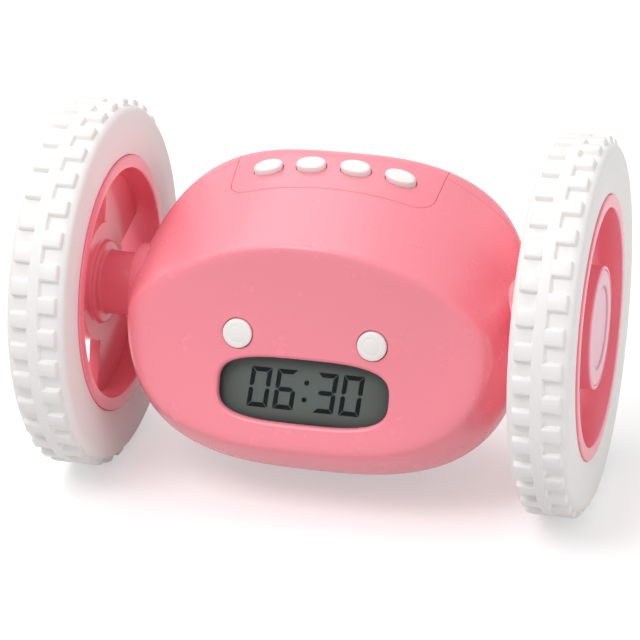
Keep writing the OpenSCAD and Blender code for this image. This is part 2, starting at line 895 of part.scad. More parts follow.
module output_gear() {
    color(warm_white) gear(output_teeth, [0, 0], second_dir, layer_3, axle_d);
}

module gear_pins() {
    color(steel) {
        for (at = [first_at, second_at])
            axle_pin(at, pin_d, motor_face_x + 0.4, cover_x + plate_t - motor_face_x - 0.4);
    }
}

module gearbox_case() {
    color(warm_white) {
        along_axle(motor_face_x, plate_t) difference() {
            union() {
                link([0, 0], second_at, link_r + 1);
                link(second_at, first_at, link_r);
                link(first_at, motor_at, link_r);
                link(motor_at, [0, 0], link_r + 1);
                for (at = gear_posts) link([0, 0], at, link_r);
                translate(motor_at) circle(d = motor_h);
            }
            circle(d = axle_d + 2 * running_gap);
            translate(motor_at) circle(d = pin_d + 0.4);
            for (at = [first_at, second_at]) translate(at) circle(d = pin_d);
        }
        for (at = gear_posts)
            axle_pin(at, gear_post_d, motor_face_x + plate_t, cover_x - motor_face_x - plate_t);
    }
}

module gearbox_cover() {
    color(warm_white) along_axle(cover_x, plate_t) difference() {
        union() {
            link([0, 0], second_at, link_r + 1);
            link(second_at, first_at, link_r);
            for (at = gear_posts) link([0, 0], at, link_r);
        }
        circle(d = axle_d + 1);
        for (at = [first_at, second_at]) translate(at) circle(d = pin_d);
    }
}

module bush() {
    color(warm_white) difference() {
        axle_pin([0, 0], bush_d, boss_x, collar_x - boss_x);
        axle_pin([0, 0], axle_d + 2 * running_gap, boss_x - 1, collar_x - boss_x + 2);
    }
}

// ---- wheel, drawn for the right side ----

module wheel_axle() {
    color(steel) difference() {
        axle_pin([0, 0], axle_d, axle_start_x, wheel_x + web_t - axle_start_x);
        axle_pin([0, 0], axle_d / 2, wheel_x + web_t - 8, 9);
    }
}

// One row of lugs: a flat-topped tooth every pitch, the first one pointing at the floor
module lug_row(turn) {
    half_top = lug_share * 180 / lug_count;
    half_root = half_top * 1.12;
    top_r = tyre_r / cos(half_top);
    root_r = tread_floor_r - bite;
    polygon([for (i = [0 : lug_count - 1], k = [0 : 3])
        let (a = -90 + turn + i * 360 / lug_count + [-half_root, -half_top, half_top, half_root][k],
             r = (k == 0 || k == 3) ? root_r : top_r)
        r * [cos(a), sin(a)]]);
}

module tyre() {
    row_l = (tread_w - rib_w) / 2;
    bead_inset = 0.6;
    color(warm_white) difference() {
        union() {
            translate([wheel_x, 0, axle_z]) rotate([0, 90, 0]) rotate_extrude($fn = 128)
                polygon([
                    [rim_r - bite, -tyre_w / 2 + bead_inset],
                    [rim_r + 5, -tyre_w / 2],
                    [tread_floor_r - 2, -tyre_w / 2 + 0.2],
                    [tread_floor_r, -tread_w / 2],
                    [tread_floor_r, tread_w / 2],
                    [tread_floor_r - 2, tyre_w / 2 - 0.2],
                    [rim_r + 5, tyre_w / 2],
                    [rim_r - bite, tyre_w / 2 - bead_inset]
                ]);
            along_axle(wheel_x - rib_w / 2, rib_w) circle(r = tyre_r, $fn = 128);
            along_axle(wheel_x + rib_w / 2, row_l) lug_row(0);
            along_axle(wheel_x - rib_w / 2 - row_l, row_l) lug_row(180 / lug_count);
        }
        along_axle(wheel_x - tyre_w, 2 * tyre_w) circle(r = rim_r, $fn = 128);
    }
}

// Three sectors that form the spokes
module spoke_sectors(turn) {
    for (i = [0 : 2]) {
        a = turn + i * 120;
        polygon(concat([[0, 0]], arc([0, 0], rim_r + 4, a - spoke_angle / 2, a + spoke_angle / 2, 4)));
    }
}

module rim(turn) {
    inner_end = wheel_x - rim_w / 2 + hub_recess;
    neck_start = collar_x + neck_gap;
    color(pink) difference() {
        union() {
            along_axle(wheel_x - rim_w / 2, rim_w) difference() {
                circle(r = rim_r, $fn = 128);
                circle(r = rim_r - rim_wall, $fn = 128);
            }
            along_axle(wheel_x - web_t / 2, web_t) intersection() {
                spoke_sectors(turn);
                circle(r = rim_r - rim_wall / 2, $fn = 128);
            }
            axle_pin([0, 0], inner_hub_d, inner_end, wheel_x - inner_end);
            axle_pin([0, 0], neck_d, neck_start, wheel_x - neck_start);
            axle_pin([0, 0], hub_d, wheel_x - web_t / 2, hub_end + web_t / 2);
        }
        axle_pin([0, 0], hub_cap_d, wheel_x + web_t, rim_w);
        axle_pin([0, 0], axle_d, neck_start - 1, wheel_x);
    }
}

module hub_cap() {
    color(pale_pink) difference() {
        axle_pin([0, 0], hub_cap_d, wheel_x + hub_end - 3, 3);
        axle_pin([0, 0], hub_cap_d - 7.4, wheel_x + hub_end - 0.6, 3);
        axle_pin([0, 0], hub_cap_d - 3, wheel_x + hub_end - 4, 4 - cap_t);
    }
}

module wheel_screw() {
    color(steel) translate([wheel_x + web_t + 0.01, 0, axle_z]) rotate([0, -90, 0]) screw_form(axle_d / 2, 6);
}

// ---- the nodes ----

front_shell();
rear_shell();
top_panel();
lcd_window();
lcd_glass();
lcd_frame();
zebra_strip();
main_board();
board_chips();
eye_switches();
button_board();
top_switches();
speaker();
battery_holder();
battery_contacts();
battery_cells();
shell_screws();
board_screws();
left_side() motor();  // left_motor
motor();  // right_motor
left_side() gearbox_case();  // left_gearbox_case
gearbox_case();  // right_gearbox_case
left_side() gearbox_cover();  // left_gearbox_cover
gearbox_cover();  // right_gearbox_cover
left_side() gear_pins();  // left_gear_pins
gear_pins();  // right_gear_pins
left_side() bush();  // left_bush
bush();  // right_bush
battery_door();
door_screw();
left_side() tyre();  // left_tyre
left_side() rim(left_spoke_turn);  // left_rim
left_side() hub_cap();  // left_hub_cap
left_side() wheel_axle();  // left_axle
left_side() output_gear();  // left_output_gear
left_side() wheel_screw();  // left_wheel_screw
tyre();  // right_tyre
rim(right_spoke_turn);  // right_rim
hub_cap();  // right_hub_cap
wheel_axle();  // right_axle
output_gear();  // right_output_gear
wheel_screw();  // right_wheel_screw
left_side() pinion();  // left_pinion
left_side() motor_shaft();  // left_motor_shaft
left_side() first_gear();  // left_first_gear
left_side() second_gear();  // left_second_gear
pinion();  // right_pinion
motor_shaft();  // right_motor_shaft
first_gear();  // right_first_gear
second_gear();  // right_second_gear
eye_button(-1);  // left_eye_button
eye_button(1);  // right_eye_button
top_button(0);  // top_button_1
top_button(1);  // top_button_2
top_button(2);  // top_button_3
top_button(3);  // top_button_4
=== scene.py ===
import json
import math

import bpy
import numpy as np
from mathutils import Matrix, Vector


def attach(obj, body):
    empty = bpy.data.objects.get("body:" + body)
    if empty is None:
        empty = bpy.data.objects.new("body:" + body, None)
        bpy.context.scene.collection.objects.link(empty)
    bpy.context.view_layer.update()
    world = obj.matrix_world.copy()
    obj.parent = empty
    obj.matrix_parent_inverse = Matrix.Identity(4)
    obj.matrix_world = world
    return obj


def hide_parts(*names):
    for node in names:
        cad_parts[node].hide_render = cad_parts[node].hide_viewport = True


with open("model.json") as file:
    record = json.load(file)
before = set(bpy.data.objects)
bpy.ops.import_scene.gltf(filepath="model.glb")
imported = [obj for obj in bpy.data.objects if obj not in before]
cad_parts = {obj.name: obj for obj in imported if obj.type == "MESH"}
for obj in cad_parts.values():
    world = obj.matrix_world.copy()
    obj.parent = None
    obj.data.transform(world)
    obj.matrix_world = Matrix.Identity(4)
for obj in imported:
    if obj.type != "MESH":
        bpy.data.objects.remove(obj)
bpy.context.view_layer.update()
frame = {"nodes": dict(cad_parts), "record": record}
nodes = frame["nodes"]
slotOf = {part["node"]: part["material_slot"] for part in frame["record"]["subparts"]}

# ---- camera, from the photograph's viewpoint ----

view = {
    "place": (0.162, -0.585, 0.3065),
    "right": (0.9644, 0.2641, -0.0153),
    "up": (-0.0927, 0.3915, 0.9155),
    "back": (0.2478, -0.8814, 0.4021),
    "lens": 156.5,
}


def makeCamera(v):
    bpy.ops.object.camera_add()
    camera = bpy.context.object
    turn = Matrix((v["right"], v["up"], v["back"])).transposed().to_quaternion()
    camera.matrix_world = Matrix.Translation(v["place"]) @ turn.to_matrix().to_4x4()
    camera.data.lens = v["lens"]
    camera.data.sensor_width = 36
    camera.data.dof.use_dof = False
    bpy.context.scene.camera = camera


makeCamera(view)
print("camera set")

# ---- modelling helpers ----


def leaveAll():
    if bpy.context.object and bpy.context.object.mode != "OBJECT":
        bpy.ops.object.mode_set(mode="OBJECT")
    bpy.ops.object.select_all(action="DESELECT")


def take(piece, *others):
    leaveAll()
    for other in others:
        other.select_set(True)
    piece.select_set(True)
    bpy.context.view_layer.objects.active = piece


def start(shape, **settings):
    leaveAll()
    getattr(bpy.ops.mesh, "primitive_" + shape + "_add")(**settings)
    piece = bpy.context.object
    bpy.ops.object.transform_apply(location=True, rotation=True, scale=True)
    return piece


def getPoints(piece):
    points = np.empty(len(piece.data.vertices) * 3)
    piece.data.vertices.foreach_get("co", points)
    return points.reshape(-1, 3)


def setPoints(piece, points):
    piece.data.vertices.foreach_set("co", np.asarray(points, float).ravel())
    piece.data.update()


def tidyMesh(piece, gap=1e-4):
    take(piece)
    bpy.ops.object.mode_set(mode="EDIT")
    bpy.ops.mesh.select_all(action="SELECT")
    bpy.ops.mesh.remove_doubles(threshold=gap)
    bpy.ops.mesh.normals_make_consistent(inside=False)
    bpy.ops.object.mode_set(mode="OBJECT")


def applyModifier(piece, kind, **settings):
    take(piece)
    modifier = piece.modifiers.new(kind.lower(), kind)
    for key, value in settings.items():
        setattr(modifier, key, value)
    bpy.ops.object.modifier_apply(modifier=modifier.name)


def combine(piece, tool, operation="DIFFERENCE", keep=False):
    applyModifier(piece, "BOOLEAN", operation=operation, object=tool, solver="MANIFOLD")
    if not keep:
        bpy.data.objects.remove(tool)
    return piece


def copyOf(piece, move=None):
    twin = piece.copy()
    twin.data = piece.data.copy()
    if move is not None:
        twin.data.transform(move)
    bpy.context.scene.collection.objects.link(twin)
    return twin


def joinAll(pieces):
    take(pieces[0], *pieces[1:])
    bpy.ops.object.join()
    return bpy.context.object


def finishPiece(piece, name, body, paint, replaced=(), smooth=32):
    take(piece)
    piece.data.transform(Matrix.Scale(0.001, 4))
    bpy.ops.object.shade_smooth_by_angle(angle=math.radians(smooth))
    piece.name = name
    piece.data.name = name
    piece.data.materials.clear()
    piece.data.materials.append(paint)
    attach(piece, body)
    if replaced:
        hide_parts(*replaced)
    return piece


# Outline with rounded corners, from its corner points and their radii
def soften(corners, radii, steps=3):
    outline = []
    count = len(corners)
    for i, (corner, radius) in enumerate(zip(corners, radii)):
        p = np.array(corner, float)
        if radius == 0:
            outline.append(p)
            continue
        u = np.array(corners[i - 1], float) - p
        v = np.array(corners[(i + 1) % count], float) - p
        lu, lv = np.linalg.norm(u), np.linalg.norm(v)
        u, v = u / lu, v / lv
        half = math.acos(max(-1.0, min(1.0, float(u @ v)))) / 2
        reach = min(radius / math.tan(half), 0.48 * lu, 0.48 * lv)
        radius = reach * math.tan(half)
        centre = p + (u + v) / np.linalg.norm(u + v) * radius / math.sin(half)
        a, b = p + u * reach - centre, p + v * reach - centre
        swing = math.pi - 2 * half
        for k in range(steps + 1):
            s = k / steps
            outline.append(centre + (a * math.sin((1 - s) * swing) + b * math.sin(s * swing)) / math.sin(swing))
    return outline


# Profile of (radius, x) points turned about the axle; an open profile starts and ends on the axle
def turned(profile, steps, angle=360, closed=True):
    piece = start("circle", vertices=len(profile), radius=1, fill_type="NOTHING")
    setPoints(piece, [(x, 0, axleZ + r) for r, x in profile])
    take(piece)
    bpy.ops.object.mode_set(mode="EDIT")
    if not closed:
        bpy.ops.mesh.select_all(action="DESELECT")
        bpy.ops.object.mode_set(mode="OBJECT")
        last = len(profile) - 1
        for edge in piece.data.edges:
            edge.select = set(edge.vertices) == {0, last}
        bpy.ops.object.mode_set(mode="EDIT")
        bpy.ops.mesh.select_mode(type="EDGE")
        bpy.ops.mesh.delete(type="EDGE")
        bpy.ops.mesh.select_mode(type="VERT")
    bpy.ops.mesh.select_all(action="SELECT")
    bpy.ops.mesh.spin(steps=steps, angle=math.radians(angle), center=(0, 0, axleZ), axis=(1, 0, 0))
    bpy.ops.object.mode_set(mode="OBJECT")
    tidyMesh(piece)
    return piece


# Grid wrapped into a closed tube through rings of equal count, its ends filled
def wrapped(rings):
    around, along = len(rings[0]), len(rings)
    piece = start("grid", x_subdivisions=around, y_subdivisions=along - 1, size=1)
    points = [ring[i % around] for ring in rings for i in range(around + 1)]
    setPoints(piece, points)
    take(piece)
    bpy.ops.object.mode_set(mode="EDIT")
    bpy.ops.mesh.select_all(action="SELECT")
    bpy.ops.mesh.remove_doubles(threshold=1e-4)
    bpy.ops.mesh.fill_holes(sides=0)
    bpy.ops.mesh.select_all(action="SELECT")
    bpy.ops.mesh.normals_make_consistent(inside=False)
    bpy.ops.object.mode_set(mode="OBJECT")
    return piece


# ---- finishes ----


class Wire:
    def __init__(self, tree, socket):
        self.tree = tree
        self.socket = socket

    def calc(self, operation, first, second, clamp=False):
        node = self.tree.nodes.new("ShaderNodeMath")
        node.operation = operation
        node.use_clamp = clamp
        for socket, value in zip(node.inputs, (first, second)):
            connect(self.tree, socket, value)
        return Wire(self.tree, node.outputs[0])

    def __add__(self, other):
        return self.calc("ADD", self, other)

    def __radd__(self, other):
        return self.calc("ADD", other, self)

    def __sub__(self, other):
        return self.calc("SUBTRACT", self, other)

    def __rsub__(self, other):
        return self.calc("SUBTRACT", other, self)

    def __mul__(self, other):
        return self.calc("MULTIPLY", self, other)

    def __rmul__(self, other):
        return self.calc("MULTIPLY", other, self)

    def __truediv__(self, other):
        return self.calc("DIVIDE", self, other)

    def __pow__(self, other):
        return self.calc("POWER", self, other)

    def limited(self):
        return self.calc("ADD", self, 0.0, clamp=True)

    def size(self):
        return self.calc("ABSOLUTE", self, 0.0)


def connect(tree, socket, value):
    if isinstance(value, Wire):
        tree.links.new(value.socket, socket)
    else:
        socket.default_value = value


def rgb(red, green, blue):
    linear = [c / 255 / 12.92 if c <= 10 else ((c / 255 + 0.055) / 1.055) ** 2.4 for c in (red, green, blue)]
    return (*linear, 1.0)


class Paint:
    def __init__(self, name):
        self.material = bpy.data.materials.new(name)
        self.material.use_nodes = True
        self.tree = self.material.node_tree
        self.shader = self.tree.nodes["Principled BSDF"]
        self.where = self.node("ShaderNodeTexCoord", output="Object")

    def node(self, kind, settings=None, sockets=None, output=0):
        node = self.tree.nodes.new(kind)
        for key, value in (settings or {}).items():
            if key == "stops":
                while len(node.color_ramp.elements) < len(value):
                    node.color_ramp.elements.new(0.5)
                for element, (position, colour) in zip(node.color_ramp.elements, value):
                    element.position = position
                    element.color = colour
            else:
                setattr(node, key, value)
        for key, value in (sockets or {}).items():
            connect(self.tree, node.inputs[key], value)
        return Wire(self.tree, node.outputs[output])

    def noise(self, scale, detail=2.0, rough=0.5, vector=None):
        sockets = {"Scale": scale, "Detail": detail, "Roughness": rough, "Vector": vector or self.where}
        return self.node("ShaderNodeTexNoise", {}, sockets, "Fac")

    def blend(self, amount, first, second):
        sockets = {0: amount, 6: first, 7: second}
        return self.node("ShaderNodeMix", {"data_type": "RGBA"}, sockets, 2)

    def bump(self, height, strength, distance):
        sockets = {"Height": height, "Strength": strength, "Distance": distance}
        return self.node("ShaderNodeBump", {}, sockets, 0)

    def set(self, **values):
        names = {"colour": "Base Color", "roughness": "Roughness", "metallic": "Metallic", "coat": "Coat Weight",
                 "coatRoughness": "Coat Roughness", "alpha": "Alpha", "normal": "Normal", "ior": "IOR",
                 "specular": "Specular IOR Level", "subsurface": "Subsurface Weight", "glow": "Emission Strength"}
        for key, value in values.items():
            connect(self.tree, self.shader.inputs[names[key]], value)
        return self.material


# Moulded plastic: a faint orange peel, uneven gloss and slow drift in the colour
def mouldedPlastic(name, colour, deeper, roughness, peel=0.06, grain=1100, **more):
    paint = Paint(name)
    drift = paint.noise(38, 3)
    fine = paint.noise(grain, 2)
    return paint.set(
        colour=paint.blend(drift * 0.5, colour, deeper),
        roughness=roughness + 0.07 * paint.noise(150, 3) - 0.03,
        normal=paint.bump(fine, peel, 0.0003),
        **more,
    )


# Rubber-like tyre compound: matt with fine speckle, a little duller low in the grain
def tyreRubber(name, colour, deeper):
    paint = Paint(name)
    speckle = paint.noise(900, 4, 0.6)
    drift = paint.noise(45, 2)
    return paint.set(
        colour=paint.blend(drift * 0.4 + speckle * 0.3, colour, deeper),
        roughness=0.46 + 0.12 * paint.noise(220, 3),
        normal=paint.bump(speckle, 0.12, 0.0003),
    )


# Bare metal with fine drawn lines and uneven brightness
def drawnMetal(name, colour, deeper, roughness, along=(1, 14, 14)):
    paint = Paint(name)
    stretched = paint.node("ShaderNodeMapping", {}, {"Vector": paint.where, "Scale": along}, 0)
    lines = paint.noise(160, 4, 0.6, stretched)
    return paint.set(
        colour=paint.blend(lines, colour, deeper),
        metallic=1.0,
        roughness=roughness + 0.14 * lines,
        normal=paint.bump(lines, 0.1, 0.0002),
    )


# Circuit board: lacquer over copper tracks
def circuitBoard(name, lacquer, copper):
    paint = Paint(name)
    pattern = {"Vector": paint.where, "Scale": 420}
    tracks = paint.node("ShaderNodeTexVoronoi", {"feature": "DISTANCE_TO_EDGE"}, pattern, 0)
    lines = (1 - tracks * 14).limited()
    return paint.set(
        colour=paint.blend(lines * 0.5, lacquer, copper),
        roughness=0.34 + 0.1 * paint.noise(300),
        normal=paint.bump(lines, 0.25, 0.0001),
    )


# Display field with painted shade: darker towards the edges of the opening, where the recess casts its shadow, plus a
# faint random cloud
def displayWithPaintedShade(name, field, edge, at, tilt, halfWidth, halfHeight):
    paint = Paint(name)
    flat = {"Vector": paint.where, "Location": at, "Rotation": (tilt, 0, 0)}
    local = paint.node("ShaderNodeMapping", {"vector_type": "TEXTURE"}, flat, 0)
    split = {"Vector": local}
    across = paint.node("ShaderNodeSeparateXYZ", {}, split, "X")
    along = paint.node("ShaderNodeSeparateXYZ", {}, split, "Y")
    # painted shade: the field darkens towards the opening's edge, standing in for the recess's shadow; the cloud adds a
    # little random tone
    paintedRecessShade = ((across.size() / halfWidth) ** 7 + (along.size() / halfHeight) ** 5).limited()
    cloud = paint.noise(120, 3)
    return paint.set(
        colour=paint.blend((paintedRecessShade * 0.8 + cloud * 0.12).limited(), field, edge),
        roughness=0.4 + 0.08 * paint.noise(500),
        specular=0.2,
    )


def clearWindow(name):
    paint = Paint(name)
    film = paint.noise(60, 3)
    return paint.set(colour=paint.blend(film, rgb(190, 196, 194), rgb(170, 178, 176)),
                     roughness=0.06 + 0.05 * film, alpha=0.006 + 0.006 * film)


# Where the display and the round buttons sit on the face, in millimetres
facePlan = {"display": (0, -25.34, 32.3), "displayLean": 90 - 18.2, "eyeX": 16.1, "eyeY": -22.38, "eyeLean": 90 - 9}
display = {"halfWidth": 20.5, "halfHeight": 7.6, "power": 3.3, "lip": 0.9}

shellPink = {"lit": rgb(252, 146, 160), "deep": rgb(250, 140, 155), "roughness": 0.26}
rimPinkTone = {"lit": rgb(253, 140, 156), "deep": rgb(250, 133, 149), "roughness": 0.24}

paints = {
    "pink_shell": mouldedPlastic("moulded_pink", shellPink["lit"], shellPink["deep"], shellPink["roughness"], peel=0.02),
    "pink_panel": mouldedPlastic("panel_pink", shellPink["lit"], shellPink["deep"], shellPink["roughness"], peel=0.02),
    "rim_pink": mouldedPlastic("rim_pink_plastic", rimPinkTone["lit"], rimPinkTone["deep"], rimPinkTone["roughness"]),
    "hub_pale_pink": mouldedPlastic("pale_pink_plastic", rgb(243, 186, 201), rgb(236, 176, 193), 0.34),
    "button_white": mouldedPlastic("button_white_plastic", rgb(247, 245, 242), rgb(240, 237, 233), 0.36, peel=0.1),
    "white_frame": mouldedPlastic("holder_white", rgb(236, 234, 228), rgb(226, 223, 216), 0.5),
    "gearbox_plastic": mouldedPlastic("gearbox_white", rgb(232, 230, 224), rgb(220, 217, 210), 0.5),
    "gear_nylon": mouldedPlastic("gear_nylon_white", rgb(240, 238, 228), rgb(228, 224, 210), 0.42, subsurface=0.1),
    "black_plastic": mouldedPlastic("black_moulding", rgb(34, 34, 37), rgb(24, 24, 27), 0.42),
    "speaker_black": mouldedPlastic("speaker_paper", rgb(30, 30, 32), rgb(18, 18, 20), 0.7, peel=0.4, grain=700),
    "black_rubber": tyreRubber("black_rubber_strip", rgb(30, 30, 31), rgb(20, 20, 21)),
    "tyre_white": tyreRubber("white_tyre_rubber", rgb(246, 244, 242), rgb(238, 235, 233)),
    "board": circuitBoard("green_board", rgb(22, 98, 62), rgb(60, 130, 80)),
    "contact_plate": drawnMetal("contact_steel", rgb(206, 208, 210), rgb(186, 188, 190), 0.26),
    "bright_steel": drawnMetal("bright_screw_steel", rgb(200, 201, 203), rgb(178, 180, 183), 0.22),
    "motor_can": drawnMetal("motor_can_steel", rgb(188, 190, 192), rgb(168, 170, 172), 0.3),
    "cell_jacket": mouldedPlastic("cell_jacket_film", rgb(196, 152, 70), rgb(176, 134, 58), 0.3),
    # the second colour is the painted shade at the edge of the display opening
    "display_glass": displayWithPaintedShade("display_field_painted_shade", rgb(97, 106, 102), rgb(52, 60, 58),
                                  [v / 1000 for v in facePlan["display"]], math.radians(facePlan["displayLean"]),
                                  display["halfWidth"] / 1000, display["halfHeight"] / 1000),
    "clear_window": clearWindow("clear_pane"),
}
inkPaint = mouldedPlastic("display_ink", rgb(8, 16, 19), rgb(12, 21, 24), 0.6, specular=0.08)

for nodeName, node in nodes.items():
    node.data.materials.clear()
    node.data.materials.append(paints[slotOf[nodeName]])
print("finishes made")

# ---- the body's shape ----

body = {
    "barrelR": 38.0,
    "halfLength": 46.6,
    "power": 2.9,
    "foreheadR": 62.5,
    "foreheadH": 28.6,
    "foreheadTilt": math.radians(19.8),
    "faceR": 78.7,
    "faceY": 100.1,
    "faceUp": 12.4,
    "wall": 2.0,
    "crownBlend": 60,  # higher is a tighter edge between barrel and forehead
    "browBlend": 36,   # higher is a tighter edge round the hollow face
    "around": 340,
    "rings": 170,
    "seamY": 12.5,
    "collarR": 10.2,
    "collarX": 47.3,
    "collarRoot": 40,
}
axleZ = 44.5
barrelZ = 42.2
barrelCentre = np.array([0, 0, barrelZ])
foreheadNormal = np.array([0, -math.sin(body["foreheadTilt"]), math.cos(body["foreheadTilt"])])


# Distance from the barrel's centre to the body's skin along each direction
def bodyReach(ways, inset):
    across, back, up = ways.T
    power = body["power"]
    around = np.hypot(back, up) / (body["barrelR"] - inset)
    ends = np.abs(across) / (body["halfLength"] - inset)
    barrel = (around ** power + ends ** power) ** (-1 / power)

    crownR = body["foreheadR"] - inset
    base = (barrelZ - axleZ) * foreheadNormal[2] - (body["foreheadH"] - body["foreheadR"])
    rise = ways @ foreheadNormal
    spread = across ** 2 + rise ** 2
    crown = (-base * rise + np.sqrt((base * rise) ** 2 - spread * (base ** 2 - crownR ** 2))) / spread

    hollowR = body["faceR"] + inset
    low = barrelZ - axleZ - body["faceUp"]
    flat = np.maximum(back ** 2 + up ** 2, 1e-9)
    lean = body["faceY"] * back + low * up
    room = lean ** 2 - flat * (body["faceY"] ** 2 + low ** 2 - hollowR ** 2)
    hit = (room > 0) & (lean < 0)
    face = np.where(hit, (-lean - np.sqrt(np.maximum(room, 0))) / flat, 1e4)

    k, m = body["crownBlend"], body["browBlend"]
    top = 30 * ((barrel / 30) ** -k + (crown / 30) ** -k) ** (-1 / k)
    return 30 * ((top / 30) ** -m + (np.minimum(face, 300) / 30) ** -m) ** (-1 / m)


# Ball whose points are pushed out to the body's shape, with more of them near the brow and the chin
def bodySolid(inset, around, rings):
    ball = start("uv_sphere", segments=around, ring_count=rings, radius=1)
    points = getPoints(ball)
    ways = np.stack([points[:, 2], points[:, 0], points[:, 1]], 1)
    turn = np.arctan2(ways[:, 2], ways[:, 1])
    tight = np.linspace(-math.pi, math.pi, 2001)
    brow, chin = math.radians(137), math.radians(219 - 360)
    density = 1 + 1.7 * np.exp(-((tight - brow) / 0.2) ** 2) + 1.2 * np.exp(-((tight - chin) / 0.22) ** 2)
    spent = np.concatenate([[0], np.cumsum((density[1:] + density[:-1]) / 2)])
    spent = spent / spent[-1] * 2 * math.pi - math.pi
    turn = np.interp(turn, spent, tight)
    flat = np.hypot(ways[:, 1], ways[:, 2])
    ways = np.stack([ways[:, 0], flat * np.cos(turn), flat * np.sin(turn)], 1)
    setPoints(ball, barrelCentre + ways * bodyReach(ways, inset)[:, None])
    tidyMesh(ball)
    return ball


# Frames on the body: a place, and the way its own Z points
def frameAt(place, tilt):
    return Matrix.Translation(place) @ Matrix.Rotation(tilt, 4, "X")


onForehead = frameAt((0, 0, axleZ), body["foreheadTilt"])
onFace = frameAt(facePlan["display"], math.radians(facePlan["displayLean"]))
onDoor = frameAt((0, 0, barrelZ), math.radians(180 - 2))


def onBack(x, z):
    return frameAt((x, 0, z), math.radians(-90))


def onEye(side):
    return frameAt((side * facePlan["eyeX"], facePlan["eyeY"], axleZ), math.radians(facePlan["eyeLean"]))


def inFrame(place, points):
    matrix = np.array(place)
    return np.asarray(points, float) @ matrix[:3, :3].T + matrix[:3, 3]


# Height of the skin over each (x, y) of a frame
def skinHeight(place, flat, low, high):
    bottom, top = np.full(len(flat), float(low)), np.full(len(flat), float(high))
    for _ in range(34):
        middle = (bottom + top) / 2
        away = inFrame(place, np.column_stack([flat, middle])) - barrelCentre
        far = np.linalg.norm(away, axis=1)
        inside = far < bodyReach(away / far[:, None], 0)
        bottom, top = np.where(inside, middle, bottom), np.where(inside, top, middle)
    return (bottom + top) / 2


# Tool that cuts an opening with a rounded lip, or leaves a lid with a rounded edge
def skinTool(place, outline, lip, deep, lid=False, low=-5, high=10):
    rings = []
    steps = [(0, -deep), (0, -lip)]
    steps += [(lip - lip * math.cos(a), lip * math.sin(a) - lip) for a in (0.35, 0.7, 1.05, 1.4)]
    steps += [(lip * 0.92, 0.9)] if lid else [(lip * 1.1, 0.9)]
    for grow, height in steps:
        flat = outline(-grow if lid else grow)
        heights = skinHeight(place, flat, low, high)
        rings.append(inFrame(place, np.column_stack([flat, heights + height])))
    rings.append(inFrame(place, np.column_stack([flat, np.full(len(flat), heights.max() + 4)])))
    return wrapped(rings)


def superOval(a, b, power, count):
    angles = np.arange(count) * 2 * math.pi / count

    def outline(grow):
        c, s = np.cos(angles), np.sin(angles)
        size = (np.abs(c) ** power + np.abs(s) ** power) ** (-1 / power)
        return np.column_stack([(a + grow) * c * size, (b + grow) * s * size])

    return outline


def polygonOutline(corners, radii, steps):
    def outline(grow):
        centre = np.mean(corners, axis=0)
        moved = [np.array(c) + grow * np.sign(np.array(c) - centre) for c in corners]
        sparse = soften(moved, [r + grow for r in radii], steps)
        dense = []
        for i, point in enumerate(sparse):
            following = sparse[(i + 1) % len(sparse)]
            parts = 14 if (i + 1) % (steps + 1) == 0 else 1
            dense += [point + (following - point) * k / parts for k in range(parts)]
        return np.array(dense)

    return outline


panel = {"halfWidth": 24.5, "along": 15.8, "front": -7.5, "back": 13.0, "spread": 1.43,
         "corner": 5.0, "backCorner": 0.8, "lip": 0.14, "gap": 0.08}
topButtons = {"xs": (-16.1, -5.4, 5.4, 16.1), "halfLength": 3.55, "halfWidth": 2.15, "power": 2.1, "proud": 1.5,
              "edge": 0.5, "gap": 0.2, "stemDown": 6.6, "stemR": 1.3, "stemLength": 4}
eyeButtons = {"radius": 3.5, "gap": 0.2, "proud": 1.0, "dome": 0.35, "edge": 0.45,
              "stemFrom": -4.4, "stemR": 1.3, "stemLength": 2}
door = {"halfLength": 30.0, "halfWidth": 11.0, "corner": 2.2, "gap": 0.3, "lip": 0.35,
        "screwX": 27.0, "seat": 28.6, "headR": 2.7}
screws = {"at": ((-6.5, 16), (6.5, 16), (-32, -17), (32, -17)), "headR": 2.6, "boreR": 1.2, "bossR": 3.2,
          "seatY": 18.5, "boreFrom": -13.8, "boreLength": 20}
sound = {"holeR": 0.9, "step": 3.6, "rings": 3}
axleHole = {"bossX": 41.6, "bossR": 7.5, "bossLength": 5.2, "boreX": 38, "boreR": 4.5, "boreLength": 12}
# Nearest and farthest height at which the skin is looked for, over the forehead, the door and the back
foreheadReach, doorReach, backReach = (10, 40), (20, 45), (15, 45)

panelCorners = [
    (panel["halfWidth"], panel["front"]),
    (panel["halfWidth"] + panel["spread"], panel["back"]),
    (-panel["halfWidth"] - panel["spread"], panel["back"]),
    (-panel["halfWidth"], panel["front"]),
]
panelOutline = polygonOutline(
    [(x, y + panel["along"]) for x, y in panelCorners],
    [panel["corner"], panel["backCorner"], panel["backCorner"], panel["corner"]], 6)
doorOutline = polygonOutline(
    [(sx * door["halfLength"], sy * door["halfWidth"]) for sx, sy in ((1, -1), (1, 1), (-1, 1), (-1, -1))],
    [door["corner"]] * 4, 5)
lcdOutline = superOval(display["halfWidth"], display["halfHeight"], display["power"], 96)


def grown(outline, extra):
    return lambda grow: outline(grow + extra)


def placedOval(x, y, outline):
    return lambda grow: outline(grow) + np.array([x, y])


def pin(centre, way, radius, length, sides=48):
    turn = Vector((0, 0, 1)).rotation_difference(Vector(way)).to_euler()
    middle = Vector(centre) + Vector(way).normalized() * length / 2
    return start("cylinder", vertices=sides, radius=radius, depth=length, location=middle, rotation=turn)


